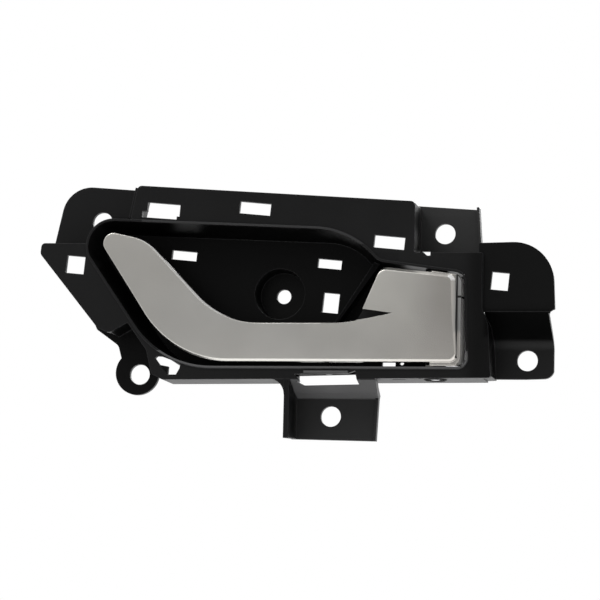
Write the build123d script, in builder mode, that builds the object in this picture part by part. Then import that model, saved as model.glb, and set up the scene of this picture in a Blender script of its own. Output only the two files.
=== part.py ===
from build123d import *
from math import cos, hypot, radians, sin
import os

os.makedirs("parts", exist_ok=True)

# Inside door handle of a car. Millimetres. +X runs along the handle to its hinge end,
# +Z is up and the face looks along -Y. The origin is on the axis of the centre fixing
# hole, on the mounting face at the back of its boss. A height is measured forward
# from that face, along -Y, so a point at height h has y = -h.

# Walls and heights of the housing
wall = 2.5
face_height = 32.0
rim_lift = 0.9
rim_width = 1.0
floor_height = 12.5
flange_drop = 2.0
top_wall_depth = 9.5

# Opening in the face
opening_left = -84.6
opening_right = 87.9
opening_top = 30.9
opening_bottom = -34.7
bowl_draft = 3.6
mouth_drop = 4.7

# Outline of the face frame
frame_top_left = 46.9
frame_top_right = 39.0
frame_top_end = 64.0
frame_shoulder = 16.0
frame_right = 94.5
frame_foot = 98.8
frame_bottom = -40.2
flange_right = 127.0
flange_left = -107.1

# Fixing holes
fixing_radius = 4.6
centre_radius = 3.3
recess_radius = 11.6
top_tab_hole = (74.9, 27.1)
right_tab_hole = (112.7, -29.9)
ring_ear_hole = (-63.9, -36.8)
bottom_tab_hole = (24.6, -55.3)
upper_ear_hole = (-83.5, 33.1)
ring_ear_centre = (-65.1, -36.0)
ring_ear_radius = 10.1

# Clip windows, all turned like the door panel that they clip to
clip_tilt = -5.3
upper_windows = [((-8.3, 36.1), (14.2, 5.4)), ((52.8, 20.6), (13.8, 5.6))]
left_window = ((-90.5, 10.9), (8.5, 8.0))
right_window = ((102.1, 3.4), (7.7, 7.9))
floor_windows = [
    ((-44.7, 17.6), (11.6, 4.2)),
    ((22.6, 13.6), (10.9, 4.2)),
    ((23.5, -4.1), (7.3, 9.0)),
]

# Lever
lever_proud = 4.0
lever_height = face_height + lever_proud
lever_depth = 6.0
lever_left = -82.9
lever_gap_below = 1.9
lever_gap_right = 3.4
bar_width = 17.2
skin = 2.0
edge_bevel = 1.8
bevel_widths = [0.3, 0.3, 1.6, 1.8, 1.9, 0.4, 0.5, 0.7, 0.3]
crown_radius = 420.0
crown_level = -4.0
face_thickness = 2.8
core_depth = 9.4
core_back_height = lever_height - core_depth
core_clearance = 0.1
pad_top = 9.5
notch_root = (39.6, -14.5)
notch_tip = (55.5, -11.3)
notch_heel = (41.7, -9.4)
rise_start = 32.0

# Hinge
pivot_x = 73.5
pivot_depth = 11.0
pivot_height = lever_height - pivot_depth
pin_radius = 2.0
pin_fit = 0.03
bush_wall = 1.5
bush_collar = 1.1
bush_collar_radius = 4.6
hub_radius = 6.5
hub_top = 5.8
hub_bottom = -33.6
bush_length = 8.0
pin_head_radius = 3.4
pin_head = 1.2
sleeve_radius = 3.4
drum_radius = 13.1
drum_wall = 2.0
run_gap = 0.35
lug_radius = 5.2

# Spring, release arm and cable anchor
spring_wire = 1.4
spring_turns = 5.25
spring_leg = 8.0
rear_leg = 16.0
spring_radius = 5.2
spring_bottom = -18.0
spring_top = -6.5
arm_thickness = 2.5
arm_level = -24.0
arm_reach = 22.0
arm_angle = 74.0
arm_end_radius = 5.2
cable_slot = 2.2
nipple_radius = 3.1
anchor_radius = 3.1
anchor_tail = 3.0
anchor_flange = 1.6
anchor_flange_radius = 5.0
anchor_tube = 8.0
anchor_tube_radius = 3.8
cable_bore = 1.5
sleeve_socket = 2.6
arm_width = 9.0

# Buffers, screws and retainer
fit = 0.05
buffer_radius = 3.0
buffer_stem = 1.6
buffer_stem_length = 4.0
buffer_seat = 21.0
buffer_places = [(30.0, -25.0), (-36.0, -22.0)]
stop_x = 61.8
stop_depth = 6.0
stop_pad = 2.2
retainer_radius = 4.4
retainer_thickness = 0.8
retainer_depth = 1.4
shell_screw_places = [(-62.0, 8.0), (-14.0, -24.0), (46.0, -24.0)]
shell_screw_radius = 1.2
shell_screw_length = 5.6
shell_head_radius = 2.3
shell_head_depth = 1.2
boss_radius = 2.6
arm_screw_radius = 1.4
arm_screw_circle = 8.9
arm_head_radius = 1.8
arm_head_depth = 1.2
bar_pocket = (13.0, 8.4)
bar_pocket_places = [(-25.5, -24.0), (-2.0, -24.0), (16.0, -24.0)]
arm_pocket_places = [(-41.0, -13.0), (-49.0, 1.0)]
pull_angle = 32.0
swing_radius = 14.9
rib = 1.6
rib_places = [-28.0, 13.0, 33.0]


def front(height):
    """A plane that faces the viewer, with x to the right and z upwards."""
    return Plane.XZ.offset(height)


def level(z):
    """A level plane, with x to the right and y away from the viewer."""
    return Plane.XY.offset(z)


def moved_sides(points, shifts):
    """The corners of a clockwise outline whose sides are moved outwards, one shift a side."""
    count = len(points)
    sides = []
    for i in range(count):
        (x0, z0), (x1, z1) = points[i], points[(i + 1) % count]
        length = hypot(x1 - x0, z1 - z0)
        out = (-(z1 - z0) / length, (x1 - x0) / length)
        start = (x0 + out[0] * shifts[i], z0 + out[1] * shifts[i])
        sides.append((start, ((x1 - x0) / length, (z1 - z0) / length)))
    corners = []
    for i in range(count):
        (ax, az), (ux, uz) = sides[i - 1]
        (bx, bz), (vx, vz) = sides[i]
        t = ((bx - ax) * vz - (bz - az) * vx) / (ux * vz - uz * vx)
        corners.append((ax + ux * t, az + uz * t))
    return corners


def outline(points, radii):
    """Draws a closed outline with a rounding at each corner and fills it."""
    with BuildLine() as border:
        FilletPolyline(*points, radius=radii, close=True)
    make_face(border.edges())


def windows(places):
    """Rectangular clip windows, drawn into the sketch that is open."""
    for centre, size in places:
        with Locations(centre):
            Rectangle(*size, rotation=clip_tilt)


# Outlines that several pieces share
opening = [
    (opening_left - 0.3, 16.5),
    (opening_left + 0.7, opening_top + 0.4),
    (35.2, opening_top - mouth_drop),
    (48.1, 12.0),
    (opening_right - 1.5, 6.7),
    (opening_right, opening_bottom),
    (-49.1, opening_bottom),
]
opening_radii = [9.0, 11.5, 38.0, 8.0, 4.5, 4.0, 43.0]
rim = moved_sides(opening, [rim_width] * 7)
rim_radii = [10.0, 12.5, 39.0, 7.0, 5.5, 5.0, 44.0]
floor_shifts = [-bowl_draft, -bowl_draft, -bowl_draft, 0.0, 2.3, 2.3, -bowl_draft]
bowl_floor = moved_sides(opening, floor_shifts)
floor_radii = [5.4, 7.9, 26.0, 6.0, 4.5, 4.0, 39.0]
bowl_back = moved_sides(bowl_floor, [wall] * 7)
back_radii = [7.9, 10.4, 28.5, 3.5, 7.0, 6.5, 41.5]
frame = [
    (-65.4, 32.0),
    (-62.5, frame_top_left),
    (frame_top_end, frame_top_right),
    (frame_top_end, frame_shoulder),
    (frame_right, frame_shoulder),
    (frame_right, -9.0),
    (frame_right + 2.9, -16.0),
    (frame_foot, frame_bottom + 0.7),
    (-48.9, frame_bottom - 0.7),
    (-53.9, -38.4),
    (-56.6, -27.6),
    (-65.5, -15.4),
    (-60.0, 0.0),
]
frame_radii = [0.5, 2.2, 2.0, 1.0, 0.6, 3.0, 3.0, 1.0, 2.0, 2.0, 4.0, 0.5, 0.5]
left_flange = [
    (-60.0, -5.0),
    (-65.5, -15.4),
    (-74.2, -20.0),
    (-79.5, -17.6),
    (flange_left, 15.9),
    (flange_left + 0.6, 20.8),
    (-80.0, 20.6),
]
flange_radii = [0.5, 0.5, 2.5, 4.0, 3.0, 1.8, 0.5]
lever_right = opening_right - lever_gap_right
lever_bottom = opening_bottom + lever_gap_below
bar_top = lever_bottom + bar_width
notch_slope = (notch_root[1] - bar_top) / (notch_root[0] - rise_start)
notch_start = (notch_root[0] - 1.8, notch_root[1] - 1.8 * notch_slope)
lever_corners = [
    (rise_start, bar_top),
    notch_root,
    (49.8, pad_top),
    (lever_right - 1.6, pad_top - 3.6),
    (lever_right, lever_bottom),
    (-43.1, lever_bottom),
    (lever_left, lever_bottom + 60.3),
    (-57.5, 21.9),
    (-21.2, bar_top),
]
lever_radii = [50.0, 2.0, 4.5, 4.0, 4.0, 45.0, 4.8, 23.0, 40.0]
lever_turns = [1, 1, -1, -1, -1, -1, -1, -1, 1]


def lever_outline(insets):
    """The boomerang outline of the lever with its sides moved inwards, its notch still filled."""
    corners = moved_sides(lever_corners, [-inset for inset in insets])
    radii = []
    for i, (radius, turn) in enumerate(zip(lever_radii, lever_turns)):
        radii.append(radius + turn * 0.5 * (insets[i - 1] + insets[i]))
    outline(corners, radii)


def notch_outline(growth):
    """The wedge notch between bar and pad, grown by a wall."""
    with BuildSketch() as wedge:
        with BuildLine() as border:
            TangentArc(notch_start, notch_tip, tangent=(1, notch_slope))
            Polyline(notch_tip, notch_heel, (notch_heel[0] - 6.0, notch_heel[1] + 1.0), notch_start)
        make_face(border.edges())
        if growth > 0:
            offset(amount=growth, kind=Kind.INTERSECTION)
    return wedge.sketch


# Bowl with its drafted walls, and the space inside it
with BuildPart() as bowl_solid:
    with BuildSketch(front(face_height + rim_lift)):
        outline(rim, rim_radii)
    with BuildSketch(front(floor_height - wall)):
        outline(bowl_back, back_radii)
    loft()

with BuildPart() as bowl_space:
    with BuildSketch(front(face_height + rim_lift)):
        outline(opening, opening_radii)
    with BuildSketch(front(floor_height)):
        outline(bowl_floor, floor_radii)
    loft()

# Places that follow from the hinge
pivot = (pivot_x, -pivot_height)
retainer_seat = frame_bottom + retainer_depth
pin_seat = frame_shoulder - pin_head - 0.05
abutment_x = pivot_x - spring_radius - 0.5 * spring_wire - 0.1
arm_end = (
    pivot_x + arm_reach * cos(radians(arm_angle)),
    arm_reach * sin(radians(arm_angle)) - pivot_height,
)
cable_height = -arm_end[1] - 0.4

# Housing: face frame, bowl, flanges, tabs and ears in one moulding
pocket_left = 56.0
divider_height = 21.5
tab_back = floor_height - wall
lug_bottom = hub_top + bush_collar + run_gap
lug_top = frame_shoulder - wall
pocket_floor = frame_bottom + wall
with BuildPart() as housing:
    with BuildSketch(front(face_height)):
        outline(frame, frame_radii)
        outline(left_flange, flange_radii)
    extrude(amount=-wall)

    # Side walls of the frame, shallower along the top
    with BuildSketch(front(face_height)) as frame_walls:
        outline(frame, frame_radii)
        offset(amount=-wall, mode=Mode.SUBTRACT)
    extrude(amount=-top_wall_depth)
    with BuildSketch(front(face_height)):
        add(frame_walls.sketch)
        with Locations((-30.0, frame_top_left)):
            Rectangle(176.0, 40.0, mode=Mode.SUBTRACT)
    extrude(amount=tab_back - face_height)

    # Upper left ear, behind the flange, with the wall that joins them
    with BuildSketch(front(tab_back)):
        outline(
            [(-63.2, 47.4), (-99.9, 50.2), (-105.6, 23.5), (-105.0, 18.4), (-74.0, 18.4), (-65.8, 30.0)],
            [0.5, 13.5, 2.0, 1.0, 1.0, 1.0],
        )
    extrude(amount=wall)
    with BuildSketch(front(tab_back)):
        with Locations((-91.0, 19.6)):
            Rectangle(24.0, wall)
        with Locations((-64.0, 39.0)):
            Rectangle(wall, 14.0, rotation=-11.5)
    extrude(amount=face_height - tab_back - 1.0)

    # Right flange
    slope_top = -10.0
    with BuildSketch(front(face_height - flange_drop)):
        outline(
            [
                (frame_right - 2.0, 20.5),
                (flange_right - 1.8, 21.3),
                (flange_right - 0.5, slope_top + 1.2),
                (flange_right - 2.3, slope_top),
                (frame_right - 2.0, slope_top),
            ],
            [0.5, 18.0, 0.8, 0.5, 0.5],
        )
    extrude(amount=-wall)

    # Lower right tab, with the slope that carries it
    slope_start = face_height - flange_drop
    tab_foot = -38.2
    with BuildSketch(Plane.YZ.offset(frame_right + 1.0)):
        outline(
            [
                (-slope_start, slope_top + wall),
                (-slope_start, slope_top),
                (-floor_height, slope_top - 12.3),
                (-floor_height, tab_foot),
                (-tab_back, tab_foot),
                (-tab_back, slope_top - 11.3),
                (wall - slope_start, slope_top + wall),
            ],
            [0.2, 0.8, 6.0, 0.3, 0.3, 8.5, 0.2],
        )
    extrude(amount=flange_right - frame_right - 3.5)
    with BuildSketch(front(slope_start - 1.0)):
        with BuildLine():
            start = (flange_right - 3.4, slope_top + 1.0)
            elbow = (flange_right - 2.2, -29.5)
            turn = (flange_right - 2.3, tab_foot + 4.9)
            foot = (flange_right - 6.9, tab_foot + 0.3)
            Polyline(start, elbow, turn)
            TangentArc(turn, foot, tangent=(0, -1))
            Polyline(foot, (frame_right + 0.5, tab_foot - 0.6), (frame_right + 0.5, tab_foot - 5.0))
            Polyline(
                (frame_right + 0.5, tab_foot - 5.0),
                (flange_right + 9.0, tab_foot - 5.0),
                (flange_right + 9.0, slope_top + 1.0),
                start,
            )
        make_face()
    extrude(amount=tab_back - slope_start, mode=Mode.SUBTRACT)

    # Top tab with the lip along its right edge, and the end wall of the upper flange
    with BuildSketch(front(tab_back)):
        with BuildLine():
            Polyline((61.6, 14.0), (61.6, 39.8), (90.4, 37.8), (92.1, 14.0), close=True)
        make_face()
    extrude(amount=wall)
    with BuildSketch(front(tab_back)):
        with BuildLine():
            Polyline((89.3, 38.6), (90.4, 38.7), (92.1, 15.0), (91.0, 15.0), close=True)
        make_face()
    extrude(amount=wall + 3.0)
    with BuildSketch(front(tab_back)):
        with BuildLine():
            Polyline(
                (frame_top_end - wall, 14.0), (frame_top_end - wall, 38.8),
                (frame_top_end, 38.2), (frame_top_end, 14.0), close=True,
            )
        make_face()
    extrude(amount=face_height - tab_back - 1.0)

    # Bottom tab: sloping shelf and plate, trimmed to their slanting edges
    tab_left = 6.6
    tab_right = 47.5
    tab_bottom = -66.4
    with BuildSketch(Plane.YZ.offset(tab_left)):
        with BuildLine():
            Polyline(
                (-face_height, frame_bottom + wall),
                (-face_height, frame_bottom),
                (-floor_height - 7.5, frame_bottom - 5.0),
                (-floor_height, frame_bottom - 7.2),
                (-floor_height, tab_bottom),
                (-tab_back, tab_bottom),
                (-tab_back, frame_bottom - 5.6),
                (-floor_height - 6.5, frame_bottom - 2.6),
                (wall - face_height, frame_bottom + wall),
                close=True,
            )
        make_face()
    extrude(amount=tab_right - tab_left)
    with BuildSketch(front(face_height + 1.0)):
        with BuildLine():
            Polyline(
                (tab_right + 0.1, frame_bottom - 0.2),
                (tab_right - 1.2, frame_bottom - 7.1),
                (tab_right - 2.1, tab_bottom + 0.2),
                (tab_left - 1.0, tab_bottom + 0.9),
                (tab_left - 1.0, tab_bottom - 4.0),
                (tab_right + 4.0, tab_bottom - 4.0),
                (tab_right + 4.0, frame_bottom - 0.2),
                close=True,
            )
        make_face()
    extrude(amount=tab_back - face_height - 2.0, mode=Mode.SUBTRACT)

    # Its tall gusset on the left, rounded into the frame, and its low lip on the right
    with BuildSketch(front(face_height - 0.5)):
        with Locations((tab_left - 7.0, frame_bottom - 7.0)):
            Rectangle(7.0, 7.0, align=(Align.MIN, Align.MIN))
            Circle(7.0, mode=Mode.SUBTRACT)
    extrude(amount=tab_back - face_height + 0.5)
    with BuildSketch(Plane.YZ.offset(tab_left)):
        with BuildLine():
            Polyline(
                (-tab_back, frame_bottom),
                (1.0 - face_height, frame_bottom),
                (1.0 - face_height, tab_bottom - 0.1),
                (-tab_back, tab_bottom + 1.1),
                close=True,
            )
        make_face()
    extrude(amount=wall - 0.2)
    with BuildSketch(front(floor_height)):
        with BuildLine():
            Polyline(
                (tab_right - 1.2, frame_bottom - 7.1),
                (tab_right - 2.1, tab_bottom + 0.2),
                (tab_right - 3.2, tab_bottom + 0.2),
                (tab_right - 2.4, frame_bottom - 7.1),
                close=True,
            )
        make_face()
    extrude(amount=1.5)

    # Ring ear with its neck
    with BuildSketch(front(tab_back)):
        with Locations(ring_ear_centre):
            Circle(ring_ear_radius)
        outline(
            [
                (-86.2, -12.6),
                (-84.6, -16.3),
                (-74.3, -23.6),
                (-72.6, -30.0),
                (-66.0, -42.0),
                (-56.0, -39.5),
                (-57.0, -28.5),
                (-64.5, -13.0),
            ],
            [0.5, 1.5, 4.0, 3.0, 0.5, 0.5, 0.5, 0.5],
        )
    extrude(amount=wall)
    with BuildSketch(front(tab_back)):
        with BuildLine():
            Polyline(
                (-78.4, -16.8), (-74.2, -19.6), (-64.0, -13.6), (-66.6, -10.6), (-73.6, -15.0), close=True,
            )
        make_face()
    extrude(amount=face_height - tab_back - 1.0)

    # Stiffening ribs behind the upper part of the face
    top_slope = (frame_top_right - frame_top_left) / 123.8
    with BuildSketch(front(face_height - top_wall_depth)):
        for x in rib_places:
            with Locations((x, frame_top_left + top_slope * (x + 62.5) - 1.2)):
                Rectangle(rib, 14.0, align=(Align.CENTER, Align.MAX))
    extrude(amount=top_wall_depth - 1.0)

    # Ridge over the window at the root of the bottom tab
    with BuildSketch(front(face_height - 1.0)):
        with Locations((25.5, -37.2)):
            Rectangle(20.0, 1.2)
    extrude(amount=1.8)

    # Bowl walls and floor, and the roof of the hinge pocket
    add(bowl_solid.part)
    with BuildSketch(front(tab_back)):
        with BuildLine():
            Polyline(
                (50.0, 13.0), (frame_right - 1.0, 7.0), (frame_right - 1.0, 9.5), (50.0, 15.5), close=True,
            )
        make_face()
    extrude(amount=face_height - tab_back - 1.0)
    add(bowl_space.part, mode=Mode.SUBTRACT)

    # Hinge pocket, cut through the floor, and the space below the lever
    with BuildSketch(front(face_height - wall)):
        outline(
            [
                (50.0, 11.0),
                (92.0, 5.6),
                (92.0, -16.0),
                (94.4, pocket_floor),
                (-14.0, pocket_floor),
                (-6.0, -30.0),
                (50.0, -30.0),
            ],
            [0.5] * 7,
        )
    extrude(amount=floor_height - face_height + wall, mode=Mode.SUBTRACT)
    with BuildSketch(front(floor_height)):
        outline(
            [
                (pocket_left, 8.0),
                (90.5, 4.6),
                (90.5, -35.0),
                (69.2, -35.0),
                (69.2, -29.2),
                (pocket_left, -29.2),
            ],
            [2.0, 2.0, 2.0, 1.0, 1.0, 2.0],
        )
    extrude(amount=-2 * wall, mode=Mode.SUBTRACT)

    # Relief in the right-hand wall for the swing of the lever's edge
    with BuildSketch(level(lever_bottom - 1.8)):
        with Locations(pivot):
            Circle(swing_radius)
        with Locations((pivot_x + 7.0, -pivot_height)):
            Rectangle(40.0, 40.0, align=(Align.MAX, Align.CENTER), mode=Mode.SUBTRACT)
    extrude(amount=pad_top - lever_bottom - 1.2, mode=Mode.SUBTRACT)

    # Drain slot and small hole in the floor, under the lower edge of the lever
    with BuildSketch(front(floor_height + 1.0)):
        with Locations((50.5, -31.6)):
            Rectangle(6.0, 3.4)
        with Locations((56.4, -31.2)):
            Circle(0.9)
    extrude(amount=-wall - 2.0, mode=Mode.SUBTRACT)

    # Divider between bowl and hinge pocket
    with BuildSketch(front(tab_back)):
        with BuildLine():
            Polyline(
                (48.2, 14.0), (26.5, -17.0), (25.0, -22.0), (25.0, -38.0),
                (22.5, -38.0), (22.5, -21.0), (46.0, 15.5), close=True,
            )
        make_face()
    extrude(amount=divider_height - tab_back)

    # Screw recess in the bowl floor, with its boss behind
    with BuildSketch(front(0)):
        Circle(recess_radius - 0.8 + wall)
    extrude(amount=tab_back, taper=-4.0)
    with BuildSketch(front(wall)):
        Circle(recess_radius - 0.8)
    extrude(amount=floor_height - wall + 0.5, taper=-4.0, mode=Mode.SUBTRACT)

    # Hinge lugs above and below the lever
    with BuildSketch(level(lug_bottom)):
        with Locations(pivot):
            Circle(lug_radius)
            with Locations((0, lug_radius)):
                Rectangle(2 * lug_radius, 2 * lug_radius)
    extrude(amount=lug_top - lug_bottom)
    with BuildSketch(level(frame_bottom)):
        with Locations(pivot):
            Circle(lug_radius)
    extrude(amount=hub_bottom - bush_collar - run_gap - frame_bottom)

    # Posts for the rest buffers, the spring's abutment and the stop for the full pull
    with BuildSketch(front(tab_back)):
        with Locations(*buffer_places):
            Circle(buffer_radius + 0.8)
    extrude(amount=buffer_seat - tab_back)
    with BuildSketch(front(tab_back)):
        with Locations((0.5 * (pocket_left - 1.0 + abutment_x), spring_top - 0.5 * spring_wire)):
            Rectangle(abutment_x - pocket_left + 1.0, 4.0)
    extrude(amount=wall)
    with BuildSketch(front(tab_back)):
        with Locations((0.5 * (pocket_left - 1.0 + stop_x), arm_level)):
            Rectangle(stop_x - pocket_left + 1.0, 7.0)
    extrude(amount=stop_depth)

    # Cable anchor bracket, standing off the right-hand wall
    anchor_x = frame_right + 0.8
    with BuildSketch(Plane.YZ.offset(anchor_x)):
        with BuildLine():
            Polyline(
                (-tab_back - 4.0, arm_level - 10.5),
                (anchor_tail, arm_level - 7.0),
                (anchor_tail, arm_level + 7.0),
                (-tab_back - 4.0, arm_level + 10.5),
                close=True,
            )
        make_face()
    extrude(amount=wall)

    # Through holes
    with BuildSketch(front(0)):
        Circle(centre_radius)
    extrude(amount=2 * wall, mode=Mode.SUBTRACT)
    with BuildSketch(front(tab_back - 1.0)):
        with Locations(top_tab_hole, right_tab_hole, ring_ear_hole, bottom_tab_hole, upper_ear_hole):
            Circle(fixing_radius)
    extrude(amount=wall + 2.0, mode=Mode.SUBTRACT)
    with BuildSketch(front(tab_back - 1.0)):
        windows(floor_windows)
    extrude(amount=wall + 2.0, mode=Mode.SUBTRACT)
    with BuildSketch(front(face_height + 1.0)):
        windows(upper_windows + [left_window, right_window])
    extrude(amount=-wall - flange_drop - 2.0, mode=Mode.SUBTRACT)

    # Stepped window at the upper left
    with BuildSketch(front(face_height + 1.0)):
        with BuildLine():
            Polyline(
                (-57.7, 39.3), (-42.6, 38.0), (-43.0, 32.6), (-44.2, 32.7), (-44.3, 31.3),
                (-60.2, 32.5), (-60.2, 35.3), (-57.9, 35.2), close=True,
            )
        make_face()
    extrude(amount=-top_wall_depth - 2.0, mode=Mode.SUBTRACT)

    # Window at the lower left, the cut in the wall behind it and the ledge that crosses it
    with BuildSketch(front(face_height + 1.0)):
        with BuildLine():
            Polyline(
                (-52.4, -31.4), (-51.4, -30.4), (-49.4, -30.5), (-44.3, -32.3), (-40.7, -34.2),
                (-41.0, -35.8), (-42.9, -39.2), (-43.7, -39.6), (-46.6, -38.8), close=True,
            )
        make_face()
    extrude(amount=-wall - 1.5, mode=Mode.SUBTRACT)
    with BuildSketch(front(face_height - wall)):
        with BuildLine():
            Polyline(
                (-56.7, -29.5), (-56.0, -26.6), (-53.2, -28.4), (-50.5, -31.0),
                (-50.5, -34.6), (-56.7, -34.6), close=True,
            )
        make_face()
    extrude(amount=tab_back - face_height + wall - 1.0, mode=Mode.SUBTRACT)
    with BuildSketch(front(face_height - wall)):
        with BuildLine():
            Polyline(
                (-52.2, -33.0), (-50.7, -34.1), (-46.8, -34.8), (-47.0, -38.4),
                (-48.5, -40.2), (-53.0, -38.0), (-54.0, -34.6), close=True,
            )
        make_face()
    extrude(amount=-wall)

    # Notch in the shoulder beside the top tab
    with BuildSketch(front(face_height + 1.0)):
        with Locations((69.9, frame_shoulder - 0.7)):
            Rectangle(3.2, 1.6)
    extrude(amount=-top_wall_depth - 2.0, mode=Mode.SUBTRACT)
    with BuildSketch(front(tab_back - 1.0)):
        with Locations((66.5, frame_shoulder + 2.3)):
            Rectangle(3.6, 1.9)
    extrude(amount=wall + 2.0, mode=Mode.SUBTRACT)

    # Window at the root of the bottom tab, and slots in the under side
    with BuildSketch(front(face_height + 1.0)):
        with BuildLine():
            Polyline((11.2, -38.2), (35.4, -37.8), (38.6, -36.6), (39.7, -42.2), (15.0, -42.7), close=True)
        make_face()
    extrude(amount=-wall - 2.0, mode=Mode.SUBTRACT)
    with BuildSketch(front(face_height - wall)):
        with BuildLine():
            Polyline((9.6, -37.0), (38.6, -36.2), (39.7, -42.2), (15.0, -42.7), (9.6, -40.0), close=True)
        make_face()
    extrude(amount=tab_back - face_height + wall - 1.0, mode=Mode.SUBTRACT)
    with BuildSketch(level(frame_bottom - 1.5)):
        with Locations((57.5, -27.0)):
            Rectangle(6.0, 1.6)
        with Locations((67.6, -30.2)):
            Rectangle(2.0, 1.4)
    extrude(amount=wall + 2.0, mode=Mode.SUBTRACT)

    # Hinge pin bores, with a seat for the retainer below, and the slot for the cable anchor
    with BuildSketch(level(frame_bottom - 1.0)):
        with Locations(pivot):
            Circle(pin_radius + pin_fit)
    extrude(amount=frame_shoulder - frame_bottom + 2.0, mode=Mode.SUBTRACT)
    with BuildSketch(level(frame_bottom - 1.0)):
        with Locations(pivot):
            Circle(retainer_radius + 0.3)
    extrude(amount=retainer_seat - frame_bottom + 1.0, mode=Mode.SUBTRACT)
    with BuildSketch(level(pin_seat)):
        with Locations(pivot):
            Circle(pin_head_radius + 0.15)
    extrude(amount=2 * pin_head, mode=Mode.SUBTRACT)
    with BuildSketch(Plane.YZ.offset(anchor_x - 1.0)):
        with Locations((-cable_height, arm_level)):
            Circle(anchor_radius)
        with Locations((0.5 * (anchor_tail + 1.0 - cable_height), arm_level)):
            Rectangle(anchor_tail + 1.0 + cable_height, 2 * anchor_radius)
    extrude(amount=wall + 2.0, mode=Mode.SUBTRACT)
    with BuildSketch(front(buffer_seat)):
        with Locations(*buffer_places):
            Circle(buffer_stem + fit)
    extrude(amount=-buffer_stem_length - 0.5, mode=Mode.SUBTRACT)
housing.part.label = "housing"
export_step(housing.part, "parts/housing.step")

# Plated shell of the lever: crowned face, bevelled edges, hollow back, drum at its hinge end
shell_back = lever_height - lever_depth
hollow_top = lever_height - face_thickness
drum_bottom = lever_bottom - 1.5
with BuildPart() as drum:
    with BuildSketch(level(drum_bottom)):
        with Locations(pivot):
            Circle(drum_radius)
            Circle(drum_radius - drum_wall, mode=Mode.SUBTRACT)
        with Locations((pivot_x + 4.0, -pivot_height + 1.0)):
            Rectangle(40.0, 40.0, align=(Align.MAX, Align.CENTER), mode=Mode.SUBTRACT)
        with Locations((pivot_x, -pivot_height + 1.5)):
            Rectangle(40.0, 40.0, align=(Align.CENTER, Align.MIN), mode=Mode.SUBTRACT)
    extrude(amount=45.0)
    with BuildSketch(front(pivot_height - 4.0)):
        outline(
            [(70.0, drum_bottom), (70.0, 8.0), (86.4, 5.7), (86.9, drum_bottom)],
            [1.0, 1.0, 4.0, 4.0],
        )
    extrude(amount=hollow_top - pivot_height + 4.1, mode=Mode.INTERSECT)

with BuildPart() as lever_shell:
    with BuildSketch(front(shell_back)):
        lever_outline([0.0] * 9)
    extrude(amount=lever_depth - edge_bevel)
    with BuildSketch(front(lever_height - edge_bevel)):
        lever_outline([0.0] * 9)
    with BuildSketch(front(lever_height)):
        lever_outline(bevel_widths)
    loft(ruled=True)
    with BuildSketch(Plane.YZ.offset(lever_left - 10.0)):
        with Locations((crown_radius - lever_height, crown_level)):
            Circle(crown_radius)
    extrude(amount=200.0, mode=Mode.INTERSECT)
    with BuildSketch(front(lever_height + 1.0)):
        add(notch_outline(0.0))
    extrude(amount=-lever_depth - 2.0, mode=Mode.SUBTRACT)
    add(drum.part)
    with BuildSketch(front(shell_back + 0.6)):
        outline(
            [(72.0, drum_bottom), (72.0, 7.7), (85.4, 5.8), (85.4, drum_bottom)],
            [0.5, 0.5, 4.0, 4.0],
        )
    extrude(amount=hollow_top - shell_back - 0.6)
    with BuildSketch(front(hollow_top)):
        lever_outline([skin] * 9)
        add(notch_outline(skin), mode=Mode.SUBTRACT)
    extrude(amount=-20.0, mode=Mode.SUBTRACT)
    with BuildSketch(front(hollow_top)):
        with Locations(*shell_screw_places):
            Circle(boss_radius)
            Circle(shell_screw_radius + pin_fit, mode=Mode.SUBTRACT)
    extrude(amount=shell_back - hollow_top)
lever_shell.part.label = "lever_shell"
export_step(lever_shell.part, "parts/lever_shell.step")

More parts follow.
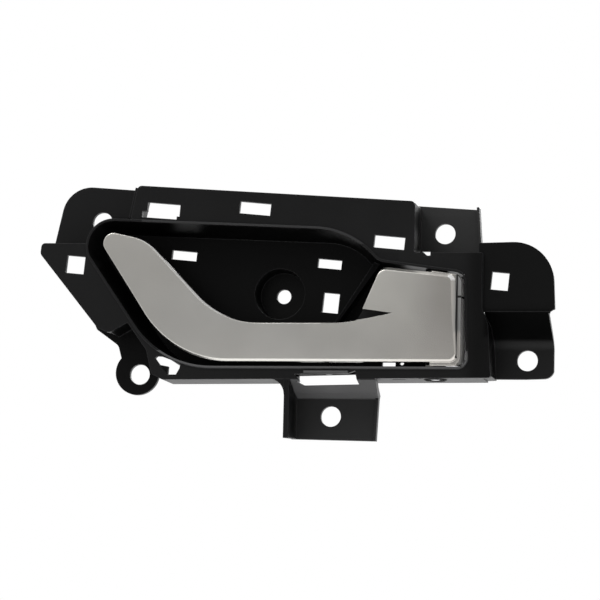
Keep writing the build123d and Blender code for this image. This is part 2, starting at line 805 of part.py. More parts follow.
# Black carrier behind the shell, with the hinge hub, the spring window and the arm's shelf
shelf_radius = 10.6
arm_bottom = arm_level - 0.5 * arm_thickness
window_radius = spring_radius + 0.5 * spring_wire + 0.7
leg_height = pivot_height + spring_radius
hub_bore = pin_radius + 0.5
arm_screw_x = arm_screw_circle * cos(radians(20.0))
arm_screw_y = arm_screw_circle * sin(radians(20.0)) - pivot_height
arm_screw_places = [(pivot_x + arm_screw_x, arm_screw_y), (pivot_x - arm_screw_x, arm_screw_y)]
bush_radius = pin_radius + pin_fit + bush_wall
with BuildPart() as lever_core:
    with BuildSketch(front(core_back_height)):
        lever_outline([skin + core_clearance] * 9)
        add(notch_outline(skin + core_clearance), mode=Mode.SUBTRACT)
    extrude(amount=hollow_top - core_back_height - core_clearance)

    # Web behind the notch
    with BuildSketch(front(core_back_height + 0.6)):
        with BuildLine():
            Polyline(
                (notch_root[0] - 3.6, bar_top - 3.0), (47.5, 2.0), (62.0, 2.0), (62.0, bar_top - 3.0), close=True,
            )
        make_face()
    extrude(amount=shell_back - core_back_height - 0.9)

    # Hub with its end bosses, and the shelf that carries the release arm
    with BuildSketch(level(hub_bottom + 3.0)):
        with Locations(pivot):
            Circle(hub_radius)
    extrude(amount=hub_top - hub_bottom - 5.0)
    with BuildSketch(level(hub_bottom)):
        with Locations(pivot):
            Circle(bush_collar_radius)
    extrude(amount=hub_top - hub_bottom)
    with BuildSketch(level(arm_bottom - 4.0)):
        with Locations(pivot):
            Circle(shelf_radius)
        with Locations((pivot_x, -core_back_height - 0.4)):
            Rectangle(40.0, 40.0, align=(Align.CENTER, Align.MAX), mode=Mode.SUBTRACT)
    extrude(amount=3.95)

    # Pockets in the back of the bar, with ribs left between them
    with BuildSketch(front(core_back_height)):
        with Locations(*bar_pocket_places):
            Rectangle(*bar_pocket)
        with Locations(*arm_pocket_places):
            Rectangle(*bar_pocket, rotation=-57.0)
    extrude(amount=4.2, mode=Mode.SUBTRACT)

    # Spring window and the groove for the spring's front leg
    with BuildSketch(level(spring_bottom - 0.6)):
        with Locations(pivot):
            Circle(window_radius)
    extrude(amount=spring_top - spring_bottom + 1.2, mode=Mode.SUBTRACT)
    with BuildSketch(front(leg_height - 0.5 * spring_wire - 0.3)):
        with Locations((pivot_x, spring_bottom + 0.5 * spring_wire)):
            Rectangle(spring_leg + 0.5, spring_wire + 0.6, align=(Align.MIN, Align.CENTER))
    extrude(amount=spring_wire + 0.6, mode=Mode.SUBTRACT)

    # Bores for pin, bushes and screws
    with BuildSketch(level(hub_bottom - 1.0)):
        with Locations(pivot):
            Circle(hub_bore)
    extrude(amount=hub_top - hub_bottom + 2.0, mode=Mode.SUBTRACT)
    with BuildSketch(level(hub_top - bush_length), level(hub_bottom)):
        with Locations(pivot):
            Circle(bush_radius + pin_fit)
    extrude(amount=bush_length, mode=Mode.SUBTRACT)
    with BuildSketch(front(shell_back - 0.1)):
        with Locations(*shell_screw_places):
            Circle(boss_radius + core_clearance)
    extrude(amount=hollow_top - shell_back + 0.1, mode=Mode.SUBTRACT)
    with BuildSketch(front(core_back_height - 0.5)):
        with Locations(*shell_screw_places):
            Circle(shell_screw_radius + 0.15)
    extrude(amount=lever_height - core_back_height, mode=Mode.SUBTRACT)
    with BuildSketch(front(core_back_height)):
        with Locations(*shell_screw_places):
            Circle(shell_head_radius + 0.1)
    extrude(amount=shell_head_depth + 0.05, mode=Mode.SUBTRACT)
    with BuildSketch(level(arm_bottom)):
        with Locations(*arm_screw_places):
            Circle(arm_screw_radius + pin_fit)
    extrude(amount=-3.6, mode=Mode.SUBTRACT)
lever_core.part.label = "lever_core"
export_step(lever_core.part, "parts/lever_core.step")

# Hinge pin with its head on the housing's shoulder
pin_bottom = frame_bottom + 0.2
with BuildPart() as pivot_pin:
    with BuildSketch(level(pin_bottom)):
        with Locations(pivot):
            Circle(pin_radius)
    extrude(amount=pin_seat - pin_bottom)
    with BuildSketch(level(pin_seat)):
        with Locations(pivot):
            Circle(pin_head_radius)
    extrude(amount=pin_head)
    chamfer(pivot_pin.faces().sort_by(Axis.Z)[0].edges(), 0.3)
    fillet(pivot_pin.faces().sort_by(Axis.Z)[-1].edges(), 0.5)
pivot_pin.part.label = "pivot_pin"
export_step(pivot_pin.part, "parts/pivot_pin.step")

# Push-on retainer at the lower end of the pin
with BuildPart() as pin_retainer:
    with BuildSketch(level(retainer_seat - retainer_thickness)):
        with Locations(pivot):
            Circle(retainer_radius)
            Circle(pin_radius + pin_fit, mode=Mode.SUBTRACT)
            with PolarLocations(pin_radius + 0.6, 6):
                Rectangle(1.6, 0.4, mode=Mode.SUBTRACT)
    extrude(amount=retainer_thickness)
pin_retainer.part.label = "pin_retainer"
export_step(pin_retainer.part, "parts/pin_retainer.step")

# Flanged bushes at the ends of the hub
with BuildPart() as upper_bush:
    with BuildSketch(level(hub_top - bush_length)):
        with Locations(pivot):
            Circle(bush_radius)
    extrude(amount=bush_length)
    with BuildSketch(level(hub_top)):
        with Locations(pivot):
            Circle(bush_collar_radius)
    extrude(amount=bush_collar)
    with BuildSketch(level(hub_top - bush_length)):
        with Locations(pivot):
            Circle(pin_radius + pin_fit)
    extrude(amount=bush_length + bush_collar, mode=Mode.SUBTRACT)
upper_bush.part.label = "upper_bush"
export_step(upper_bush.part, "parts/upper_bush.step")

with BuildPart() as lower_bush:
    with BuildSketch(level(hub_bottom)):
        with Locations(pivot):
            Circle(bush_radius)
    extrude(amount=bush_length)
    with BuildSketch(level(hub_bottom - bush_collar)):
        with Locations(pivot):
            Circle(bush_collar_radius)
    extrude(amount=bush_collar)
    with BuildSketch(level(hub_bottom - bush_collar)):
        with Locations(pivot):
            Circle(pin_radius + pin_fit)
    extrude(amount=bush_length + bush_collar, mode=Mode.SUBTRACT)
lower_bush.part.label = "lower_bush"
export_step(lower_bush.part, "parts/lower_bush.step")

# Sleeve that keeps the coil centred on the pin
with BuildPart() as spring_sleeve:
    with BuildSketch(level(spring_bottom - 0.3)):
        with Locations(pivot):
            Circle(sleeve_radius)
            Circle(pin_radius + pin_fit, mode=Mode.SUBTRACT)
    extrude(amount=spring_top - spring_bottom + 0.6)
spring_sleeve.part.label = "spring_sleeve"
export_step(spring_sleeve.part, "parts/spring_sleeve.step")

# Torsion spring: coil, front leg in the lever's groove, rear leg on the housing's abutment
coil_height = spring_top - spring_bottom - spring_wire
coil_foot = (pivot_x, -pivot_height, spring_bottom + 0.5 * spring_wire)
coil_plane = Plane(coil_foot, x_dir=(0, -1, 0), z_dir=(0, 0, 1))
with BuildPart() as return_spring:
    with BuildLine(coil_plane) as coil:
        Helix(pitch=coil_height / spring_turns, height=coil_height, radius=spring_radius, lefthand=True)
    with BuildSketch(Plane(origin=coil.line @ 0, z_dir=coil.line % 0)):
        Circle(0.5 * spring_wire)
    sweep(is_frenet=True)
    with BuildSketch(Plane.YZ.offset(pivot_x - 0.3)):
        with Locations((-leg_height, spring_bottom + 0.5 * spring_wire)):
            Circle(0.5 * spring_wire)
    extrude(amount=spring_leg + 0.3)
    with BuildSketch(Plane.XZ.offset(pivot_height + 0.3)):
        with Locations((pivot_x - spring_radius, spring_top - 0.5 * spring_wire)):
            Circle(0.5 * spring_wire)
    extrude(amount=-rear_leg - 0.3)
return_spring.part.label = "return_spring"
export_step(return_spring.part, "parts/return_spring.step")

# Release arm on the shelf of the lever core, with a keyhole for the cable's nipple
with BuildPart() as release_arm:
    with BuildSketch(level(arm_bottom)):
        with Locations(pivot):
            Circle(shelf_radius)
            with Locations(Location((0, 0), arm_angle)):
                Rectangle(arm_reach, arm_width, align=(Align.MIN, Align.CENTER))
        with Locations(arm_end):
            Circle(arm_end_radius)
        with Locations((pivot_x, -core_back_height + 0.15)):
            Rectangle(40.0, 40.0, align=(Align.CENTER, Align.MAX), mode=Mode.SUBTRACT)
        with Locations(pivot):
            Circle(hub_radius + 0.1, mode=Mode.SUBTRACT)
        with Locations(arm_end):
            Circle(nipple_radius, mode=Mode.SUBTRACT)
            Rectangle(10.0, cable_slot, align=(Align.MIN, Align.CENTER), mode=Mode.SUBTRACT)
        with Locations(*arm_screw_places):
            Circle(arm_screw_radius + 0.1, mode=Mode.SUBTRACT)
    extrude(amount=arm_thickness)
release_arm.part.label = "release_arm"
export_step(release_arm.part, "parts/release_arm.step")

# Two pan head screws through the arm into the shelf
with BuildPart() as arm_screws:
    with BuildSketch(level(arm_bottom - 3.4)):
        with Locations(*arm_screw_places):
            Circle(arm_screw_radius)
    extrude(amount=3.4 + arm_thickness)
    with BuildSketch(level(arm_bottom + arm_thickness)):
        with Locations(*arm_screw_places):
            Circle(arm_head_radius)
    extrude(amount=arm_head_depth)
    with BuildSketch(level(arm_bottom + arm_thickness + arm_head_depth)):
        with Locations(*arm_screw_places):
            Rectangle(2.2, 0.5)
            Rectangle(0.5, 2.2)
    extrude(amount=-0.7, mode=Mode.SUBTRACT)
arm_screws.part.label = "arm_screws"
export_step(arm_screws.part, "parts/arm_screws.step")

# Three screws from the back of the core into the bosses of the shell
screw_head_height = core_back_height + 0.05
with BuildPart() as shell_screws:
    with BuildSketch(front(screw_head_height)):
        with Locations(*shell_screw_places):
            Circle(shell_head_radius)
    extrude(amount=shell_head_depth)
    with BuildSketch(front(screw_head_height)):
        with Locations(*shell_screw_places):
            Circle(shell_screw_radius)
    extrude(amount=shell_screw_length)
    with BuildSketch(front(screw_head_height)):
        with Locations(*shell_screw_places):
            Rectangle(2.8, 0.6)
            Rectangle(0.6, 2.8)
    extrude(amount=0.8, mode=Mode.SUBTRACT)
shell_screws.part.label = "shell_screws"
export_step(shell_screws.part, "parts/shell_screws.step")

# Snap-in anchor for the sleeve of the release cable, in the slot of the housing's bracket
with BuildPart() as cable_anchor:
    with BuildSketch(Plane.YZ.offset(anchor_x - anchor_flange - fit)):
        with Locations((-cable_height, arm_level)):
            Circle(anchor_flange_radius)
    extrude(amount=anchor_flange)
    with BuildSketch(Plane.YZ.offset(anchor_x + wall + fit)):
        with Locations((-cable_height, arm_level)):
            Circle(anchor_flange_radius)
    extrude(amount=anchor_flange)
    with BuildSketch(Plane.YZ.offset(anchor_x - anchor_flange - fit)):
        with Locations((-cable_height, arm_level)):
            Circle(anchor_radius - fit)
    extrude(amount=wall + 2 * anchor_flange + 2 * fit)
    with BuildSketch(Plane.YZ.offset(anchor_x + wall + anchor_flange + fit)):
        with Locations((-cable_height, arm_level)):
            Circle(anchor_tube_radius)
    extrude(amount=anchor_tube)
    with BuildSketch(Plane.YZ.offset(anchor_x - anchor_flange - 1.0)):
        with Locations((-cable_height, arm_level)):
            Circle(cable_bore)
    extrude(amount=30.0, mode=Mode.SUBTRACT)
    with BuildSketch(Plane.YZ.offset(anchor_x + wall + anchor_flange + anchor_tube + fit)):
        with Locations((-cable_height, arm_level)):
            Circle(sleeve_socket)
    extrude(amount=-anchor_tube, mode=Mode.SUBTRACT)
cable_anchor.part.label = "cable_anchor"
export_step(cable_anchor.part, "parts/cable_anchor.step")

# Rubber buffers that the lever rests on, plugged into their posts
buffer_gap = 0.3
with BuildPart() as rest_buffers:
    with BuildSketch(front(buffer_seat - buffer_stem_length)):
        with Locations(*buffer_places):
            Circle(buffer_stem)
    extrude(amount=buffer_stem_length)
    with BuildSketch(front(buffer_seat)):
        with Locations(*buffer_places):
            Circle(buffer_radius)
    extrude(amount=core_back_height - buffer_gap - buffer_seat)
    fillet(rest_buffers.faces().filter_by(Axis.Y).sort_by(Axis.Y)[0:2].edges(), 0.6)
rest_buffers.part.label = "rest_buffers"
export_step(rest_buffers.part, "parts/rest_buffers.step")

# Rubber pad that the release arm meets at the end of the pull
with BuildPart() as stop_buffer:
    with BuildSketch(Plane.YZ.offset(stop_x)):
        with Locations((-tab_back - 0.5 * stop_depth, arm_level)):
            RectangleRounded(stop_depth, 7.0, 0.8)
    extrude(amount=stop_pad)
stop_buffer.part.label = "stop_buffer"
export_step(stop_buffer.part, "parts/stop_buffer.step")
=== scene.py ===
"""Looks of a car interior door handle: black moulded housing, satin chrome pull lever, and
the hinge, spring and release arm behind it. Metres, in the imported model's frame: +X towards
the hinge end, +Z up, the face looks along -Y."""
import math

import bmesh
import bpy
from mathutils import Matrix, Vector


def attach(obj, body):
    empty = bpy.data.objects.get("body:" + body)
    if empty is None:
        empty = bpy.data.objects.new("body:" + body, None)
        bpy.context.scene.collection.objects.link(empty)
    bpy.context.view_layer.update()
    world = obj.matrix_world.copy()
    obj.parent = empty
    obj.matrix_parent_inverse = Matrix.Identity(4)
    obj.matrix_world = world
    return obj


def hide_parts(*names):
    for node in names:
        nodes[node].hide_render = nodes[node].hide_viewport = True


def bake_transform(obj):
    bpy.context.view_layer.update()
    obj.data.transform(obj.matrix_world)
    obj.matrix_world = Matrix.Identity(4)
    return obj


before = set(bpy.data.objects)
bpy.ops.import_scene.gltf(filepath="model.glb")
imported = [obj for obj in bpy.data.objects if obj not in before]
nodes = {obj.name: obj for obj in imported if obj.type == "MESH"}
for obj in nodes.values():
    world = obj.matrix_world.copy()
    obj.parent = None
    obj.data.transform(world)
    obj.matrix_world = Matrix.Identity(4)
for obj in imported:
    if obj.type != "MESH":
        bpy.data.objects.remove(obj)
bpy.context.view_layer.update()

# The photograph's camera. The lens and the sensor are in mm
VIEW_AZIMUTH = math.radians(11.0)
VIEW_ELEVATION = math.radians(-7.0)
VIEW_ROLL = math.radians(1.357)
VIEW_DISTANCE = 1.4
VIEW_AIM = Vector((0.00981, -0.015, -0.00302))
SENSOR = 36.0
LENS = 186.67
CLIP_START = 0.05

# The studio
WHITE = (1.0, 1.0, 1.0, 1.0)
AMBIENT_LEVEL = 0.45
FLOOR_LEVEL = -0.32
FLOOR_REACH = 4.0
FLOOR_TONE = (0.82, 0.82, 0.82, 1)
FLOOR_GLOW = 0.35

# A Mix node's sockets for two colours and what they make
COLOUR_A, COLOUR_B, COLOUR_RESULT = 6, 7, 2

# Where a noise texture's values lie
NOISE_LOW, NOISE_HIGH = 0.3, 0.7

# How alike the rounded and the true normal are where an edge's tone starts, and where it is full
EDGE_STARTS, EDGE_FULL = 0.995, 0.86
EDGE_SAMPLES = 6

MM_PER_METRE = 1000.0


# Small helpers for node trees

def add_node(tree, kind, place, **settings):
    """Adds a node, with its own settings and then the values of its named inputs."""
    made = tree.nodes.new(kind)
    made.location = place
    for name, value in settings.items():
        if hasattr(made, name):
            setattr(made, name, value)
        else:
            made.inputs[name.replace("_", " ")].default_value = value
    return made


def ranged(tree, source, low, high, place, start=0.0, end=1.0):
    """Maps a value from start..end to low..high."""
    made = add_node(
        tree, "ShaderNodeMapRange", place, From_Min=start, From_Max=end, To_Min=low, To_Max=high,
    )
    tree.links.new(source, made.inputs["Value"])
    return made.outputs["Result"]


def spread(tree, source, low, high, place):
    """Maps a noise to low..high."""
    return ranged(tree, source, low, high, place, NOISE_LOW, NOISE_HIGH)


def laid_over(tree, mask, below, tone, place):
    """Lays a tone over a colour, or over the colour that a node puts out, by a mask."""
    made = add_node(tree, "ShaderNodeMix", place, data_type="RGBA")
    tree.links.new(mask, made.inputs["Factor"])
    if isinstance(below, bpy.types.NodeSocket):
        tree.links.new(below, made.inputs[COLOUR_A])
    else:
        made.inputs[COLOUR_A].default_value = below
    made.inputs[COLOUR_B].default_value = tone
    return made.outputs[COLOUR_RESULT]


def new_group(name, inputs, outputs):
    """A shader node group. Inputs are {name: (socket kind, default)}, outputs {name: kind}."""
    tree = bpy.data.node_groups.new(name, "ShaderNodeTree")
    for label, (kind, value) in inputs.items():
        socket = tree.interface.new_socket(label, in_out="INPUT", socket_type=kind)
        socket.default_value = value
    for label, kind in outputs.items():
        tree.interface.new_socket(label, in_out="OUTPUT", socket_type=kind)
    entry = tree.nodes.new("NodeGroupInput")
    entry.location = (-900, 0)
    result = tree.nodes.new("NodeGroupOutput")
    result.location = (700, 0)
    return tree, entry, result


def placed_group(tree, group, place, **values):
    """Adds a group to a tree, with the values of its named inputs."""
    made = tree.nodes.new("ShaderNodeGroup")
    made.node_tree = group
    made.location = place
    for name, value in values.items():
        made.inputs[name.replace("_", " ")].default_value = value
    return made


# Effects that the materials share

def soft_edge_group():
    """Rounds a moulded or plated edge in the shading, and tells where the edges are."""
    tree, entry, result = new_group(
        "soft edges",
        {"Radius": ("NodeSocketFloat", 0.0004)},
        {"Normal": "NodeSocketVector", "Edge": "NodeSocketFloat"},
    )
    link = tree.links.new
    rounded = add_node(tree, "ShaderNodeBevel", (-600, 0), samples=EDGE_SAMPLES)
    link(entry.outputs["Radius"], rounded.inputs["Radius"])
    flat = add_node(tree, "ShaderNodeNewGeometry", (-600, -200))
    likeness = add_node(tree, "ShaderNodeVectorMath", (-350, -100), operation="DOT_PRODUCT")
    link(rounded.outputs["Normal"], likeness.inputs[0])
    link(flat.outputs["True Normal"], likeness.inputs[1])
    edge = ranged(tree, likeness.outputs["Value"], 0.0, 1.0, (-100, -100), EDGE_STARTS, EDGE_FULL)
    link(rounded.outputs["Normal"], result.inputs["Normal"])
    link(edge, result.inputs["Edge"])
    return tree


def grain_group():
    """Fine grain of a moulded plastic, with slow changes of gloss over the surface."""
    tree, entry, result = new_group(
        "moulded grain",
        {
            "Grain Scale": ("NodeSocketFloat", 1600.0),
            "Cloud Scale": ("NodeSocketFloat", 22.0),
        },
        {"Height": "NodeSocketFloat", "Cloud": "NodeSocketFloat"},
    )
    link = tree.links.new
    place = add_node(tree, "ShaderNodeTexCoord", (-900, -300))
    pits = add_node(
        tree, "ShaderNodeTexVoronoi", (-600, 100), feature="SMOOTH_F1", Smoothness=0.6,
    )
    specks = add_node(tree, "ShaderNodeTexNoise", (-600, -150), Detail=3.0)
    cloud = add_node(tree, "ShaderNodeTexNoise", (-600, -400), Detail=4.0, Roughness=0.55)
    scales = ((pits, "Grain Scale"), (specks, "Grain Scale"), (cloud, "Cloud Scale"))
    for texture, scale in scales:
        link(place.outputs["Object"], texture.inputs["Vector"])
        link(entry.outputs[scale], texture.inputs["Scale"])
    height = add_node(tree, "ShaderNodeMath", (-300, 0), operation="MULTIPLY_ADD")
    height.inputs[1].default_value = 0.6
    link(pits.outputs["Distance"], height.inputs[0])
    link(specks.outputs["Fac"], height.inputs[2])
    link(height.outputs["Value"], result.inputs["Height"])
    link(cloud.outputs["Fac"], result.inputs["Cloud"])
    return tree


def polish_group():
    """Faint polishing lines and handling marks of a plated or turned metal surface."""
    tree, entry, result = new_group(
        "polish marks",
        {
            "Line Scale": ("NodeSocketFloat", 900.0),
            "Stretch": ("NodeSocketVector", (1.0, 1.0, 1.0)),
        },
        {"Height": "NodeSocketFloat", "Smear": "NodeSocketFloat", "Tone": "NodeSocketFloat"},
    )
    link = tree.links.new
    place = add_node(tree, "ShaderNodeTexCoord", (-1100, -200))
    stretched = add_node(tree, "ShaderNodeVectorMath", (-850, 0), operation="MULTIPLY")
    link(place.outputs["Object"], stretched.inputs[0])
    link(entry.outputs["Stretch"], stretched.inputs[1])
    lines = add_node(tree, "ShaderNodeTexNoise", (-600, 100), Detail=2.0)
    link(stretched.outputs["Vector"], lines.inputs["Vector"])
    link(entry.outputs["Line Scale"], lines.inputs["Scale"])
    smear = add_node(
        tree, "ShaderNodeTexNoise", (-600, -150), Scale=38.0, Detail=5.0, Roughness=0.6,
    )
    tone = add_node(tree, "ShaderNodeTexNoise", (-600, -400), Scale=14.0, Detail=2.0)
    link(place.outputs["Object"], smear.inputs["Vector"])
    link(place.outputs["Object"], tone.inputs["Vector"])
    link(lines.outputs["Fac"], result.inputs["Height"])
    link(smear.outputs["Fac"], result.inputs["Smear"])
    link(tone.outputs["Fac"], result.inputs["Tone"])
    return tree


def zone_group():
    """A box on the piece that is 1 inside and fades to 0 around it."""
    tree, entry, result = new_group(
        "soft zone",
        {
            "Centre": ("NodeSocketVector", (0.0, 0.0, 0.0)),
            "Half Size": ("NodeSocketVector", (0.01, 0.01, 0.01)),
            "Fade": ("NodeSocketFloat", 0.002),
        },
        {"Mask": "NodeSocketFloat"},
    )
    link = tree.links.new
    place = add_node(tree, "ShaderNodeTexCoord", (-1100, -200))
    offset = add_node(tree, "ShaderNodeVectorMath", (-800, 0), operation="SUBTRACT")
    link(place.outputs["Object"], offset.inputs[0])
    link(entry.outputs["Centre"], offset.inputs[1])
    size = add_node(tree, "ShaderNodeVectorMath", (-600, 0), operation="ABSOLUTE")
    link(offset.outputs["Vector"], size.inputs[0])
    outside = add_node(tree, "ShaderNodeVectorMath", (-400, 0), operation="SUBTRACT")
    link(size.outputs["Vector"], outside.inputs[0])
    link(entry.outputs["Half Size"], outside.inputs[1])
    parts = add_node(tree, "ShaderNodeSeparateXYZ", (-200, 0))
    link(outside.outputs["Vector"], parts.inputs[0])
    widest = add_node(tree, "ShaderNodeMath", (0, 100), operation="MAXIMUM")
    link(parts.outputs["X"], widest.inputs[0])
    link(parts.outputs["Y"], widest.inputs[1])
    farthest = add_node(tree, "ShaderNodeMath", (200, 0), operation="MAXIMUM")
    link(widest.outputs["Value"], farthest.inputs[0])
    link(parts.outputs["Z"], farthest.inputs[1])
    fade = add_node(
        tree, "ShaderNodeMapRange", (400, 0), interpolation_type="SMOOTHSTEP",
        To_Min=1.0, To_Max=0.0,
    )
    link(farthest.outputs["Value"], fade.inputs["Value"])
    link(entry.outputs["Fade"], fade.inputs["From Max"])
    link(fade.outputs["Result"], result.inputs["Mask"])
    return tree


def facing_group():
    """1 where the surface of the piece faces a direction, and 0 where it turns away from it."""
    tree, entry, result = new_group(
        "facing side",
        {
            "Direction": ("NodeSocketVector", (0.0, 0.0, 1.0)),
            "Starts": ("NodeSocketFloat", 0.84),
            "Full": ("NodeSocketFloat", 0.95),
        },
        {"Mask": "NodeSocketFloat"},
    )
    link = tree.links.new
    place = add_node(tree, "ShaderNodeTexCoord", (-800, 0))
    likeness = add_node(tree, "ShaderNodeVectorMath", (-500, 0), operation="DOT_PRODUCT")
    link(place.outputs["Normal"], likeness.inputs[0])
    link(entry.outputs["Direction"], likeness.inputs[1])
    mask = add_node(tree, "ShaderNodeMapRange", (-200, 0), interpolation_type="SMOOTHSTEP")
    link(likeness.outputs["Value"], mask.inputs["Value"])
    link(entry.outputs["Starts"], mask.inputs["From Min"])
    link(entry.outputs["Full"], mask.inputs["From Max"])
    link(mask.outputs["Result"], result.inputs["Mask"])
    return tree


SOFT_EDGES = soft_edge_group()
SOFT_ZONE = zone_group()
FACING_SIDE = facing_group()
MOULDED_GRAIN = grain_group()
POLISH_MARKS = polish_group()


# Materials. A zone is (low corner, high corner, fade, tone or share), with the corners and
# the fade in mm

def new_material(name):
    """A node material, with its tree and its shader."""
    material = bpy.data.materials.new(name)
    material.use_nodes = True
    tree = material.node_tree
    shader = tree.nodes["Principled BSDF"]
    shader.location = (500, 0)
    return material, tree, shader


def placed_zone(tree, low, high, fade, place):
    """The mask of a soft zone between two corners."""
    centre = [(a + b) / 2 / MM_PER_METRE for a, b in zip(low, high)]
    half = [abs(b - a) / 2 / MM_PER_METRE for a, b in zip(low, high)]
    made = placed_group(
        tree, SOFT_ZONE, place, Centre=centre, Half_Size=half, Fade=fade / MM_PER_METRE,
    )
    return made.outputs["Mask"]


def toned_zones(tree, colour, zones, place):
    """Lays each zone's own tone over a colour."""
    for step, (low, high, fade, tone) in enumerate(zones):
        x, y = place[0] + 40 * step, place[1] + 220 * (step + 1)
        mask = placed_zone(tree, low, high, fade, (x - 250, y))
        colour = laid_over(tree, mask, colour, tone, (x, y))
    return colour


def zone_masks(tree, zones):
    """Each zone's mask with its share."""
    return [
        (placed_zone(tree, low, high, fade, (-50, 700 + 220 * step)), share)
        for step, (low, high, fade, share) in enumerate(zones)
    ]


def masked_metallic(tree, shader, masks, rest, choice):
    """Metallic is rest, and where a mask lies its own share. Masks are (output, share)."""
    chosen = None
    for step, (mask, share) in enumerate(masks):
        height = 400 + 250 * step
        level = ranged(tree, mask, rest, share, (200, height))
        if chosen is None:
            chosen = level
            continue
        joined = add_node(tree, "ShaderNodeMath", (400, height), operation=choice)
        tree.links.new(chosen, joined.inputs[0])
        tree.links.new(level, joined.inputs[1])
        chosen = joined.outputs["Value"]
    if chosen is not None:
        tree.links.new(chosen, shader.inputs["Metallic"])


def finish_surface(tree, shader, gloss, height, edges, strength, depth):
    """Roughness from a gloss pattern, and fine bumps on top of the softened edges."""
    tree.links.new(gloss, shader.inputs["Roughness"])
    bump = add_node(tree, "ShaderNodeBump", (200, -250), Strength=strength, Distance=depth)
    tree.links.new(height, bump.inputs["Height"])
    tree.links.new(edges, bump.inputs["Normal"])
    tree.links.new(bump.outputs["Normal"], shader.inputs["Normal"])


def plastic(
    name, dark, light, wear_and_highlight_edge_tone, gloss, grain, specular,
    grain_depth=0.00002, edge_radius=0.0004, zones=(), painted_shade_zones=(),
):
    """A moulded plastic: two near tones, paler edges, grain and slow gloss changes. The paler
    edges are wear, and on the housing a painted highlight. In its painted shade zones Metallic
    takes the shine from a dark tone: painted shade that dims the reflections."""
    material, tree, shader = new_material(name)
    edges = placed_group(tree, SOFT_EDGES, (-700, -300), Radius=edge_radius)
    grained = placed_group(tree, MOULDED_GRAIN, (-700, 100), Grain_Scale=grain)
    cloud = grained.outputs["Cloud"]
    base = laid_over(tree, cloud, dark, light, (-350, 300))
    base = toned_zones(tree, base, zones, (-350, 300))
    # Paler edges: wear, and on the housing a painted highlight
    worn_and_lit_edges = laid_over(tree, edges.outputs["Edge"], base, wear_and_highlight_edge_tone, (-100, 300))
    tree.links.new(worn_and_lit_edges, shader.inputs["Base Color"])
    finish_surface(
        tree, shader, spread(tree, cloud, gloss[0], gloss[1], (-100, 50)),
        grained.outputs["Height"], edges.outputs["Normal"], strength=0.5, depth=grain_depth,
    )
    shader.inputs["Specular IOR Level"].default_value = specular
    # Painted shade: in these zones Metallic over the dark tone dims the reflections
    masked_metallic(tree, shader, zone_masks(tree, painted_shade_zones), 0.0, "MAXIMUM")
    return material


def metal(
    name, dark, light, gloss, lines, stretch, line_depth=0.00002, edge_radius=0.0003,
    zones=(), matt_painted_light_zones=(), painted_highlight_facing=None, sharp_zone=None,
):
    """A bare or plated metal: slow tone changes, polish lines, smears and softened edges. In its
    matt zones and on its matt facing side the metal turns matt and pale: painted light, and on
    the facing side a painted highlight. In the sharp zone the edges keep a smaller radius."""
    material, tree, shader = new_material(name)
    edges = placed_group(tree, SOFT_EDGES, (-700, -300), Radius=edge_radius)
    if sharp_zone:
        low, high, fade, radius = sharp_zone
        mask = placed_zone(tree, low, high, fade, (-1150, -300))
        sharper = ranged(tree, mask, edge_radius, radius, (-900, -300))
        tree.links.new(sharper, edges.inputs["Radius"])
    marks = placed_group(tree, POLISH_MARKS, (-700, 100), Line_Scale=lines, Stretch=stretch)
    slow = spread(tree, marks.outputs["Tone"], 0.0, 1.0, (-500, 300))
    base = laid_over(tree, slow, dark, light, (-250, 300))
    base = toned_zones(tree, base, zones, (-250, 300))
    # Painted light: in these zones the metal turns matt, so that its pale tone shows
    masks = zone_masks(tree, matt_painted_light_zones)
    # Painted highlight: matt and pale on the side that faces the given direction
    if painted_highlight_facing:
        direction, share, tone = painted_highlight_facing
        facing = placed_group(tree, FACING_SIDE, (-50, 500), Direction=direction)
        masks.append((facing.outputs["Mask"], share))
        base = laid_over(tree, facing.outputs["Mask"], base, tone, (150, 300))
    tree.links.new(base, shader.inputs["Base Color"])
    finish_surface(
        tree, shader, spread(tree, marks.outputs["Smear"], gloss[0], gloss[1], (-100, 50)),
        marks.outputs["Height"], edges.outputs["Normal"], strength=0.4, depth=line_depth,
    )
    shader.inputs["Metallic"].default_value = 1.0
    masked_metallic(tree, shader, masks, 1.0, "MINIMUM")
    return material


